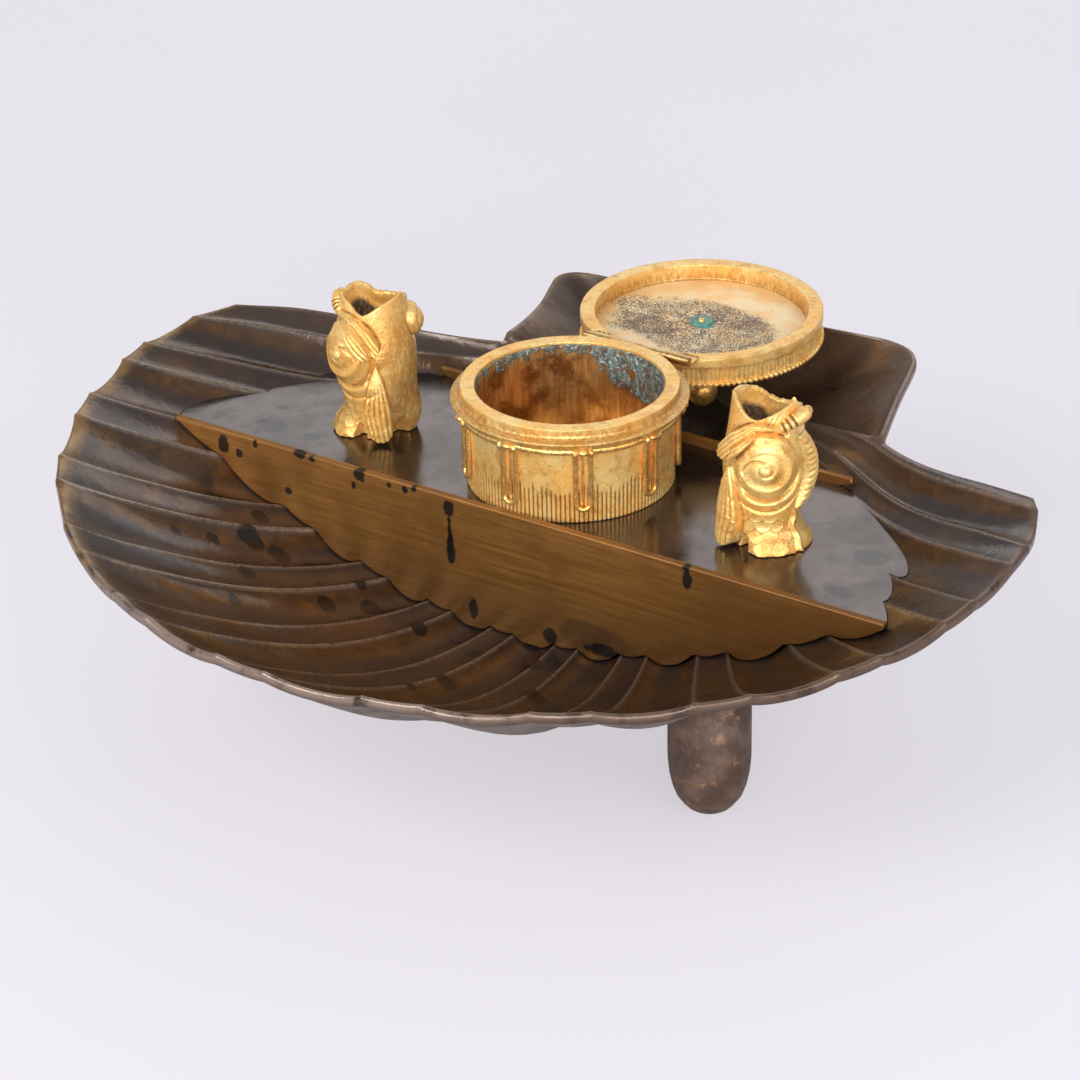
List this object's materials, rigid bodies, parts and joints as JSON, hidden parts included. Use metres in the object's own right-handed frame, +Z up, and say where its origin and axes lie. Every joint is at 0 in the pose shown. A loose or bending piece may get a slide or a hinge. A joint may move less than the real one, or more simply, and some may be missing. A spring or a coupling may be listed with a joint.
{
  "type": "desk inkstand",
  "caption": "Desk inkstand: scallop-shell dish on three feet, a platform with a hinged-lid ink pot, and open-mouthed fish that hold pens.",
  "frame": {"origin": "on the table, under the middle of the stand's outline with the lid open", "axes": "+X to the right along the platform's front wall, +Y from the open shell towards its hinge, +Z up"},
  "size_m": [0.295, 0.2581, 0.1106],
  "materials": {
    "shell_tray": "dark brown patinated bronze, satin",
    "foot_front_right": "dark brown patinated bronze, satin",
    "foot_front_left": "dark brown patinated bronze, satin",
    "foot_back": "dark brown patinated bronze, satin",
    "foot_studs": "dull grey steel",
    "deck_plate": "near-black polished plate with faint stains",
    "front_wall": "golden-brown patinated sheet with dark spots",
    "back_wall": "golden-brown patinated sheet with dark spots",
    "tie_bolt": "dull grey steel",
    "tie_washer": "dull grey steel",
    "tie_nut": "dull grey steel",
    "pot_drum": "satin gilt with a fine tooth",
    "pot_floor": "satin gilt with a fine tooth",
    "pot_collar": "satin gilt with a fine tooth",
    "pot_cord_ring": "satin gilt with a fine tooth",
    "pot_hinge_leaf": "satin gilt with a fine tooth",
    "hinge_pin": "satin gilt with a fine tooth",
    "lid_hinge_leaf": "satin gilt with a fine tooth",
    "lid_body": "satin gilt with a fine tooth",
    "lid_bead_ring": "satin gilt with a fine tooth",
    "lid_knob": "satin gilt with a fine tooth",
    "lid_knob_washer": "satin gilt with a fine tooth",
    "fish_left": "satin gilt with a fine tooth",
    "fish_right": "satin gilt with a fine tooth",
    "fish_screws": "dull grey steel"
  },
  "bodies": {
    "stand": {"shell_tray": "shell_tray", "foot_front_right": "foot_front_right", "foot_front_left": "foot_front_left", "foot_back": "foot_back", "foot_studs": "foot_studs", "deck_plate": "deck_plate", "front_wall": "front_wall", "back_wall": "back_wall", "tie_bolt": "tie_bolt", "tie_washer": "tie_washer", "tie_nut": "tie_nut", "pot_drum": "pot_drum", "pot_floor": "pot_floor", "pot_collar": "pot_collar", "pot_cord_ring": "pot_cord_ring", "pot_hinge_leaf": "pot_hinge_leaf", "hinge_pin": "hinge_pin", "fish_left": "fish_left", "fish_right": "fish_right", "fish_screws": "fish_screws"},
    "lid": {"lid_hinge_leaf": "lid_hinge_leaf", "lid_body": "lid_body", "lid_bead_ring": "lid_bead_ring", "lid_knob": "lid_knob", "lid_knob_washer": "lid_knob_washer"}
  },
  "joints": [
    {"name": "lid_hinge", "type": "hinge", "parent": "stand", "child": "lid", "pos_m": [-0.00055, 0.056, 0.0924], "axis": [1, 0, 0], "range_deg": [0, 180]}
  ]
}
